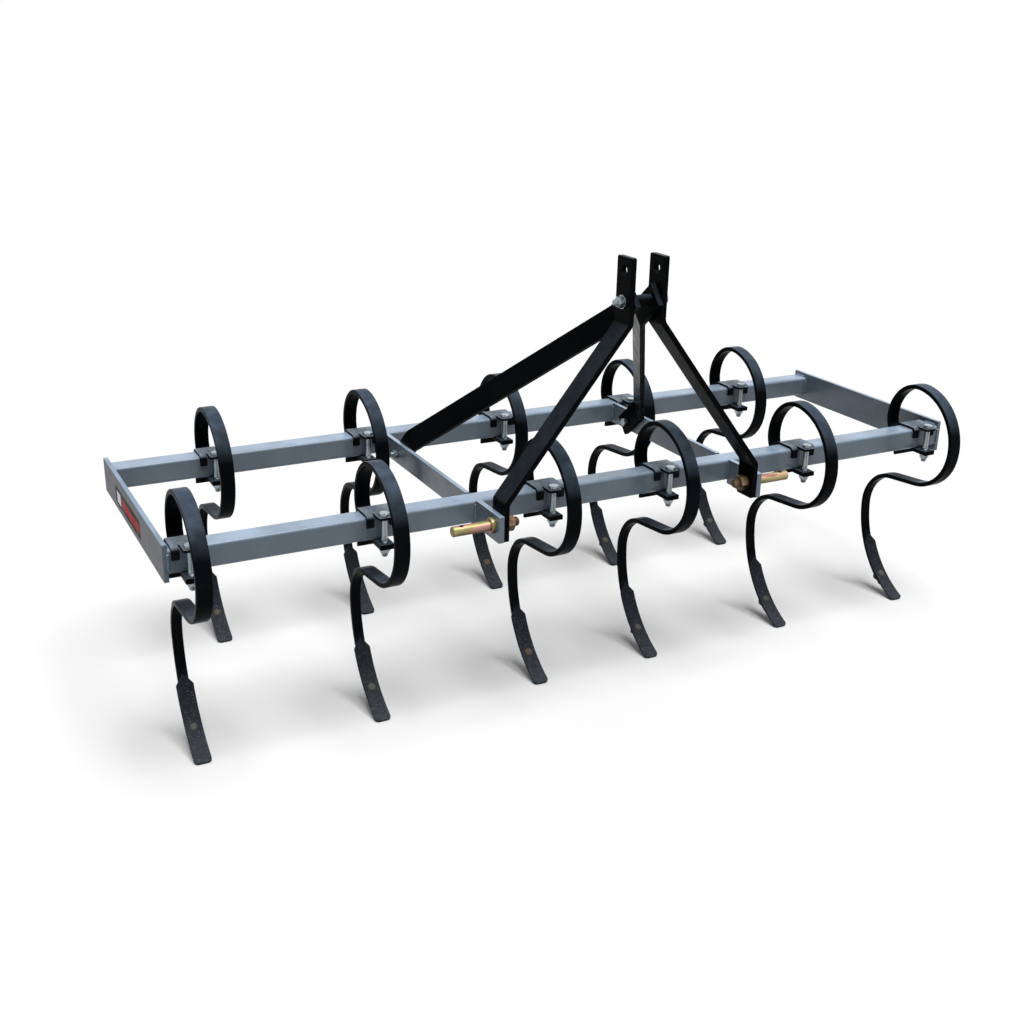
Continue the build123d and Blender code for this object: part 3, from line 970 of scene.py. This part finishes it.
@dataclass
class Mast:
    """The A-frame: straps, braces, spacer and their bolts."""

    edge_mm: float = 1.2
    spacer_edge_mm: float = 0.6
    strap_t: float = 12.0 * MM
    plate_t: float = 10.0 * MM
    width: float = 90 * MM      # between the straps' outer faces at the top

    def build(self) -> None:
        """Ease the flat bars' edges and fit the spacer and the bolts."""
        for side in Side:
            eased_copy(f"mast_strap_{side.label}", self.edge_mm, BLACK)
            eased_copy(f"brace_{side.label}", self.edge_mm, BLACK)
        eased_copy("mast_spacer", self.spacer_edge_mm, BLACK)
        self.mast_bolt()
        self.brace_bolts()

    def mast_bolt(self) -> None:
        """Fit the long bolt through the mast, its head on the right."""
        bolt = Fastener(
            radius=7 * MM, grip=self.width, head=(22 * MM, 12 * MM), nut=(22 * MM, 12 * MM),
            washer=(14.5 * MM, 3 * MM), plain=60 * MM, ring=3 * MM,
        ).model("mast_bolt_plated")
        centre = middle_of("mast_bolt")
        bolt.data.transform(placing((self.width / 2, centre.y, centre.z), -QUARTER, "Y"))
        fit_out(bolt, ZINC, ("mast_bolt",))

    def brace_bolts(self) -> None:
        """Fit the bolts at the feet of the braces, heads inboard."""
        model = Fastener(
            radius=6.5 * MM, grip=self.strap_t + self.plate_t, head=(19 * MM, 10 * MM),
            nut=(19 * MM, 10 * MM),
        ).model("brace_bolt_model")
        centre = middle_of("brace_bolts")
        for side in Side:
            inner = side.value * (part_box("cross_plate_right")[1].x - self.plate_t - self.strap_t)
            place = placing((inner, centre.y, centre.z), side.value * QUARTER, "Y")
            bolt = copy_of(model, f"brace_bolt_{side.label}", place)
            fit_out(bolt, ZINC, ("brace_bolts",))
        discard(model)


@dataclass
class HitchPins:
    """The two lower hitch pins: turned pin, collar, nut and thread."""

    radius: float = 11.0 * MM
    length: float = 84.0 * MM
    collar: tuple[float, float] = (17.0 * MM, 9.0 * MM)     # radius and thickness
    collar_edge: float = 0.8 * MM
    collar_chamfer: float = 0.9 * MM
    thread_radius: float = 10.0 * MM
    nut: tuple[float, float] = (32.0 * MM, 18.0 * MM)       # width across the flats and height
    walls: float = 24.0 * MM    # lug and strap between collar and nut
    washer: tuple[float, float] = (15.5 * MM, 2.5 * MM)     # radius and thickness
    washer_edge: float = 0.6 * MM
    stub: float = 12.5 * MM
    lynch_radius: float = 5.7 * MM
    lynch_from_end: float = 20.0 * MM

    def pin_model(self) -> Piece:
        """Turn one pin along +Z, with the lug's face at the origin, and drill its hole.

        Returns:
            The closed pin.
        """
        wide, thick = self.collar
        end = thick + self.length
        stations = [
            (-2 * MM, self.thread_radius), (0.0, self.thread_radius),
            (HAIR, wide - self.collar_edge), (self.collar_edge, wide),
            (thick - self.collar_chamfer, wide), (thick, wide - self.collar_chamfer),
            (thick + HAIR, self.radius), (end - 2 * MM, self.radius),
            (end - 1.2 * MM, self.radius - 0.4 * MM), (end, self.radius - 2 * MM),
        ]
        pin = turned("hitch_pin_model", stations, 40)
        hole = turned(
            "lynch_cutter", ((-0.03, self.lynch_radius), (0.03, self.lynch_radius)), 28
        )
        hole.data.transform(placing((0, 0, end - self.lynch_from_end), QUARTER, "Y"))
        cut(pin, hole, "DIFFERENCE")
        return pin

    def nut_model(self) -> Piece:
        """Model the nut, its spring washer and the thread that shows past it.

        Returns:
            The joined nut, washer and thread.
        """
        reach, thick = self.washer
        seat = -self.walls - thick
        tail = seat - self.nut[1] - self.stub
        stations = [(tail, 0.78 * self.thread_radius)]
        stations += thread(tail + 2 * MM, -self.walls - 1 * MM, self.thread_radius, 2.5 * MM)
        screw = turned("hitch_thread", stations, 32)
        nut = hexagon("hitch_nut", seat - self.nut[1], seat, self.nut[0], False)
        washer = turned("hitch_washer", disc(seat, -self.walls, reach, self.washer_edge), 40)
        return join("hitch_nut_model", [nut, screw, washer])

    def build(self) -> None:
        """Copy pin and nut to both lugs, the pins in fresh yellow plate, the nuts browned."""
        models = {"pin": (self.pin_model(), YELLOW_ZINC), "nut": (self.nut_model(), BROWN_ZINC)}
        centre = middle_of("hitch_pin_right")
        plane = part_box("lug_right")[1].x
        for side in Side:
            spot = (side.value * plane, centre.y, centre.z)
            place = placing(spot, side.value * QUARTER, "Y")
            for kind, (model, finish) in models.items():
                piece = copy_of(model, f"hitch_{kind}_{side.label}_turned", place)
                fit_out(piece, finish, (f"hitch_pin_{side.label}",))
        for model, _ in models.values():
            discard(model)


@dataclass
class SpringTine:
    """One S-tine about the centre of its bar, with its point, clamp and bolts."""

    half_tube: float = 25.4 * MM
    strip: tuple[float, float] = (32.0 * MM, 11.0 * MM)     # width and thickness
    shank_width: float = 22.0 * MM
    taper: tuple[float, float] = (-124.0 * MM, -160.0 * MM)     # heights where it starts and ends
    seat_start: float = -58.4 * MM
    seat_length: float = 76.4 * MM
    # Radius in millimetres and turn in degrees of each bend, in the order they come
    loop: tuple[tuple[float, float], ...] = (
        (64.0, 90.0), (98.0, 55.0), (83.0, 42.0), (133.0, 94.0), (109.0, 73.5)
    )
    bottom_run: float = 85.0 * MM
    crest: tuple[float, float] = (100.0, -85.0)
    shank: tuple[float, float] = (257.0, -52.0)
    crest_steps: int = 17
    shank_steps: int = 14
    edge: float = 2.0 * MM
    point_t: float = 6.0 * MM
    point_gap: float = 0.1 * MM
    point_edge: float = 1.2 * MM
    point_width: float = 36.0 * MM
    point_turn: tuple[float, float] = (20.5, 66.0)  # degrees round the shank bend, from and to
    point_bolt_turn: float = 46.5
    point_bolt_radius: float = 5.0 * MM
    # Round head of the point's bolt: height and radius in millimetres, from its top
    dome: tuple[tuple[float, float], ...] = (
        (-2.6, 4.0), (-2.4, 6.0), (-1.6, 7.9), (-0.7, 8.8), (0.0, 9.0)
    )
    crown: tuple[float, float] = (3.0 * MM, 22.0 * MM)      # width at the top, and length
    tip_corner: float = 9.0 * MM
    ridge: float = 0.42         # where the blade is rubbed and a ridge's highlight is painted, as a share of its half width
    clamp_bolt_ahead: float = 16.0 * MM
    clamp_t: float = 6.0 * MM

    def __post_init__(self) -> None:
        """Work out the seat's height, and the centre and start of the shank bend."""
        self.seat_z = -self.half_tube - self.strip[1] / 2
        spot, aim = Vector((0, self.seat_start + self.seat_length, self.seat_z)), 0.0
        for radius, turn in self.loop:
            spot, aim, _ = self.bend_end(spot, aim, radius, turn)
        spot += self.heading(aim) * self.bottom_run
        spot, aim, _ = self.bend_end(spot, aim, *self.crest)
        self.hub = self.bend_end(spot, aim, *self.shank)[2]
        self.zero = aim + 90

    @staticmethod
    def heading(aim: float) -> Vector:
        """Direction of an angle in degrees in the side view."""
        return Vector((0, math.cos(math.radians(aim)), math.sin(math.radians(aim))))

    def bend_end(
        self, spot: Vector, aim: float, radius_mm: float, turn: float
    ) -> tuple[Vector, float, Vector]:
        """Follow one bend.

        Args:
            spot: Where it starts.
            aim: Heading at its start, in degrees.
            radius_mm: Radius of the strip's middle.
            turn: Turn in degrees, positive to the left.

        Returns:
            Its end, the heading there and its centre.
        """
        side = 1 if turn > 0 else -1
        centre = spot + self.heading(aim + 90 * side) * radius_mm * MM
        end = centre + self.heading(aim - 90 * side + turn) * radius_mm * MM
        return end, aim + turn, centre

    def profile(
        self, name: str, centre: Vector, aim: float, size: tuple[float, float], edge: float
    ) -> Piece:
        """Start a strip with one face that has rounded corners.

        Args:
            name: Name of the piece.
            centre: Middle of the face.
            aim: Heading of the strip there, in degrees.
            size: Width along X and thickness.
            edge: Radius of the corners.

        Returns:
            The face as a piece.
        """
        clear_selection()
        bpy.ops.mesh.primitive_plane_add(size=1)
        piece = named(name, (size[0], size[1], 1))
        with editing(piece):
            bpy.ops.mesh.bevel(offset=edge, offset_type="OFFSET", segments=3, affect="VERTICES")
        piece.data.transform(placing(centre, QUARTER + math.radians(aim), "X"))
        return piece

    def spin_on(self, centre: Vector, turn: float, steps: int) -> None:
        """Spin the selected face round a bend's centre; in the background spin turns back."""
        bpy.ops.mesh.spin(
            steps=steps, angle=math.radians(abs(turn)), center=centre,
            axis=(-1 if turn > 0 else 1, 0, 0),
        )

    def narrow(self, share: float, centre: Vector) -> None:
        """Scale the selected ring across the strip."""
        if abs(share - 1) > 1e-5:
            bpy.ops.transform.resize(value=(share, 1, 1), center_override=centre)

    def width_at(self, height: float) -> float:
        """Width of the strip at a height below the bar's centre."""
        top, end = self.taper
        share = min(1.0, max(0.0, (top - height) / (top - end)))
        return self.strip[0] + (self.shank_width - self.strip[0]) * share

    def strip_model(self) -> Piece:
        """Bend the spring strip: seat, loop, crest and shank.

        Returns:
            The closed strip.
        """
        spot, aim = Vector((0, self.seat_start, self.seat_z)), 0.0
        piece = self.profile("tine_model", spot, aim, self.strip, self.edge)
        with editing(piece, outward=True):
            seat = (0, self.seat_length, 0)
            bpy.ops.mesh.extrude_region_move(TRANSFORM_OT_translate={"value": seat})
            spot += Vector(seat)
            for radius, turn in self.loop:
                spot, aim, centre = self.bend_end(spot, aim, radius, turn)
                self.spin_on(centre, turn, max(6, round(abs(turn) / 5)))
            run = self.heading(aim) * self.bottom_run
            bpy.ops.mesh.extrude_region_move(TRANSFORM_OT_translate={"value": run})
            spot += run
            width = self.strip[0]
            for (radius, turn), count in (
                (self.crest, self.crest_steps), (self.shank, self.shank_steps)
            ):
                centre = self.bend_end(spot, aim, radius, turn)[2]
                for _ in range(count):
                    spot, aim, _ = self.bend_end(spot, aim, radius, turn / count)
                    self.spin_on(centre, turn / count, 1)
                    wanted = self.width_at(spot.z)
                    self.narrow(wanted / width, spot)
                    width = wanted
        return piece

    def point_model(self) -> Piece:
        """Bend the blade of a point, narrow its crown and round its tip.

        Returns:
            The closed blade, with attributes that its wear follows.
        """
        middle = self.shank[0] * MM - self.strip[1] / 2 - self.point_t / 2 - self.point_gap
        start, end = (self.zero - turn for turn in self.point_turn)
        arc = math.radians(start - end) * middle
        width, crown = self.crown
        stops = [0.0, 0.25 * crown, 0.6 * crown, crown]
        stops += [crown + (arc - crown - self.tip_corner) * i / 9 for i in range(1, 10)]
        stops += [
            arc - self.tip_corner * (1 - math.sin(math.radians(a))) for a in (25, 45, 65, 80, 90)
        ]
        spot = self.hub + self.heading(start) * middle
        size = (self.point_width, self.point_t)
        piece = self.profile("point_model", spot, start - 90, size, self.point_edge)
        with editing(piece, outward=True):
            self.narrow(width / self.point_width, spot)
            for last, stop in zip(stops, stops[1:]):
                turn = math.degrees((stop - last) / middle)
                self.spin_on(self.hub, -turn, 1)
                spot = self.hub + self.heading(start - math.degrees(stop / middle)) * middle
                wanted = self.blade_width(stop, arc)
                self.narrow(wanted / width, spot)
                width = wanted
        self.mark_wear(piece, start, end)
        return piece

    def mark_wear(self, piece: Piece, start: float, end: float) -> None:
        """Give the blade the attributes that its wear follows.

        Args:
            piece: The blade.
            start: Angle of its upper end round the hub, in degrees.
            end: Angle of its tip.
        """
        spots = [vertex.co.copy() for vertex in piece.data.vertices]
        slack = 5       # degrees by which a vertex may lie above the upper end
        turns = [
            (start - math.degrees(math.atan2(v.z - self.hub.z, v.y - self.hub.y)) + slack) % 360
            - slack
            for v in spots
        ]
        wear = {
            "off_ridge": [abs(2 * v.x / self.point_width - self.ridge) for v in spots],
            "along": [turn / (start - end) for turn in turns],
        }
        for name, values in wear.items():
            piece.data.attributes.new(name, "FLOAT", "POINT").data.foreach_set("value", values)

    def blade_width(self, along: float, arc: float) -> float:
        """Width of the blade.

        Args:
            along: Distance from its upper end.
            arc: Its whole length.

        Returns:
            The width there.
        """
        if along < self.crown[1]:
            return self.crown[0] + (self.point_width - self.crown[0]) * along / self.crown[1]
        left = arc - along
        if left < self.tip_corner:
            r = self.tip_corner
            return self.point_width - 2 * (r - math.sqrt(max(0.0, r * r - (r - left) ** 2)))
        return self.point_width

    def point_bolt_model(self) -> Piece:
        """Turn the round-headed bolt of a point, with its nut behind the shank.

        Returns:
            The joined bolt and nut.
        """
        face = self.shank[0] * MM - self.strip[1] / 2 - self.point_t - 0.3 * MM
        grip = self.point_t + self.strip[1] + 0.5 * MM
        stations = [(height * MM, radius * MM) for height, radius in self.dome]
        stations.append((HAIR, self.point_bolt_radius))
        stations += thread(grip, grip + 12 * MM, self.point_bolt_radius, 1.5 * MM)
        bolt = turned("point_bolt_shank", stations, 28)
        nut = hexagon("point_bolt_nut", grip, grip + 8 * MM, 17 * MM, False)
        piece = join("point_bolt_model", [bolt, nut])
        out = self.heading(self.zero - self.point_bolt_turn)
        turn = out.to_track_quat("Z", "X").to_matrix().to_4x4()
        piece.data.transform(Matrix.Translation(self.hub + out * face) @ turn)
        return piece

    def clamp_bolt_model(self) -> Piece:
        """Model the clamp's bolt, head on the tongue and nut under the seat.

        Returns:
            The joined bolt and nut.
        """
        piece = Fastener(
            radius=6.5 * MM, grip=2 * self.half_tube + self.clamp_t + self.strip[1],
            head=(20 * MM, 8 * MM), nut=(20 * MM, 13 * MM), plain=52 * MM, ring=4 * MM,
        ).model("clamp_bolt_model")
        spot = Vector((0, -self.half_tube - self.clamp_bolt_ahead, self.half_tube + self.clamp_t))
        piece.data.transform(placing(spot, math.pi, "X"))
        return piece


@dataclass
class TineRows:
    """All eleven tines with their points, clamps and bolts."""

    names: tuple[str, ...] = (
        "f1", "f2", "f3", "f4", "f5", "f6", "r1", "r2", "r3", "r4", "r5"
    )
    clamp_edge_mm: float = 0.9

    def build(self) -> None:
        """Model one of each piece and copy it to every place in the CAD."""
        tine = SpringTine()
        models = {
            "tine": (tine.strip_model(), SPRING, 40),
            "point": (tine.point_model(), POINT, 40),
            "point_bolt": (tine.point_bolt_model(), RUSTED, 28),
            "clamp_bolt": (tine.clamp_bolt_model(), ZINC, 25),
        }
        for name in self.names:
            centre = middle_of("front_toolbar" if name.startswith("f") else "rear_toolbar")
            centre.x = middle_of(f"tine_{name}").x
            place = Matrix.Translation(centre)
            for kind, (model, finish, smooth_deg) in models.items():
                node = f"{kind}s" if kind.endswith("bolt") else f"{kind}_{name}"
                piece = copy_of(model, f"{kind}_{name}_detailed", place)
                fit_out(piece, finish, (node,), smooth_deg)
            eased_copy(f"clamp_{name}", self.clamp_edge_mm, CLAMP_BLACK)
        for model, *_ in models.values():
            discard(model)


# Studio


@dataclass
class Studio:
    """Pale floor, soft light, white background and the photograph's camera."""

    eye: tuple[float, float, float] = (-1.4180, -2.5112, 1.4098)
    yaw_deg: float = 27.784
    pitch_deg: float = 21.065
    roll_deg: float = 1.177
    focal_px: float = 1264.1
    image_px: int = 1024
    sensor_mm: float = 36.0
    floor_size: float = 60.0
    floor_tones: tuple[str, str] = ("#ebebeb", "#efefef")
    mottle_mm: float = 1000 / 3
    ambient: float = 0.27
    ambient_tone: str = "#f6f6f7"
    sun_strength: float = 3.15
    sun_spread_deg: float = 38.0
    sun_tilt_deg: tuple[float, float] = (17.0, 3.0)

    def place(self, name: str, data: bpy.types.Camera | bpy.types.Light, at: Matrix) -> Piece:
        """Put a camera or a lamp into the scene."""
        made = bpy.data.objects.new(name, data)
        bpy.context.scene.collection.objects.link(made)
        made.matrix_world = at
        return made

    def camera(self) -> None:
        """Place the camera as the photograph's was."""
        yaw, pitch, roll = (
            math.radians(v) for v in (self.yaw_deg, self.pitch_deg, self.roll_deg)
        )
        ahead = Vector(
            (math.sin(yaw) * math.cos(pitch), math.cos(yaw) * math.cos(pitch), -math.sin(pitch))
        )
        right = Vector((math.cos(yaw), -math.sin(yaw), 0))
        up = right.cross(ahead)
        tilted_right = math.cos(roll) * right + math.sin(roll) * up
        tilted_up = -math.sin(roll) * right + math.cos(roll) * up
        lens = bpy.data.cameras.new("photo_camera")
        lens.sensor_width = self.sensor_mm
        lens.lens = self.focal_px * self.sensor_mm / self.image_px
        turn = Matrix((tilted_right, tilted_up, -ahead)).transposed().to_4x4()
        at = Matrix.Translation(self.eye) @ turn
        bpy.context.scene.camera = self.place("photo_camera", lens, at)

    def floor(self) -> None:
        """Lay the pale floor, which keeps the object's shadow."""
        clear_selection()
        bpy.ops.mesh.primitive_plane_add(size=self.floor_size)
        floor = bpy.context.object
        floor.name = "studio_floor"
        made = bpy.data.materials.new("studio_floor_matt")
        tree = emptied(made)
        where = add_node(tree, "TexCoord").outputs["Object"]
        mottle = add_node(
            tree, "TexNoise", {"Vector": where, "Scale": per_metre(self.mottle_mm), "Detail": 2.0}
        )
        tint = add_node(tree, "ValToRGB", (mottle,), stops=tuple(enumerate(self.floor_tones)))
        add_node(tree, "OutputMaterial", (add_node(tree, "BsdfDiffuse", (tint,)),))
        floor.data.materials.append(made)

    def world(self) -> None:
        """Light softly all round, and show plain white to the camera and in reflections."""
        world = bpy.data.worlds.new("studio_world")
        tree = emptied(world)
        bpy.context.scene.world = world
        rays = add_node(tree, "LightPath")
        seen = rays.outputs["Is Camera Ray"]
        for name in ("Is Glossy Ray", "Is Transmission Ray"):
            seen = add_node(tree, "Math", (seen, rays.outputs[name]), operation="MAXIMUM")
        soft = add_node(tree, "Background", (srgb(self.ambient_tone), self.ambient))
        white = add_node(tree, "Background", (srgb("#ffffff"), 1.0))
        add_node(tree, "OutputWorld", (add_node(tree, "MixShader", (seen, soft, white)),))

    def sky(self) -> None:
        """Hang one wide soft light overhead, even over the whole floor."""
        lamp = bpy.data.lights.new("overhead_soft_light", "SUN")
        lamp.energy = self.sun_strength
        lamp.angle = math.radians(self.sun_spread_deg)
        back, across = (math.radians(v) for v in self.sun_tilt_deg)
        at = Matrix.Rotation(back, 4, "X") @ Matrix.Rotation(across, 4, "Y")
        self.place("overhead_soft_light", lamp, at)

    def build(self) -> None:
        """Set up the whole studio."""
        self.camera()
        self.floor()
        self.world()
        self.sky()
        bpy.context.scene.view_settings.view_transform = "Standard"


def main() -> None:
    """Build every sub-assembly in order, then the studio."""
    logging.basicConfig(level=logging.INFO, format="%(name)s %(message)s")
    for assembly in (Toolframe(), Mast(), HitchPins(), TineRows(), Studio()):
        assembly.build()
        log.info("%s done", type(assembly).__name__)
    clear_selection()


if __name__ == "__main__":
    main()
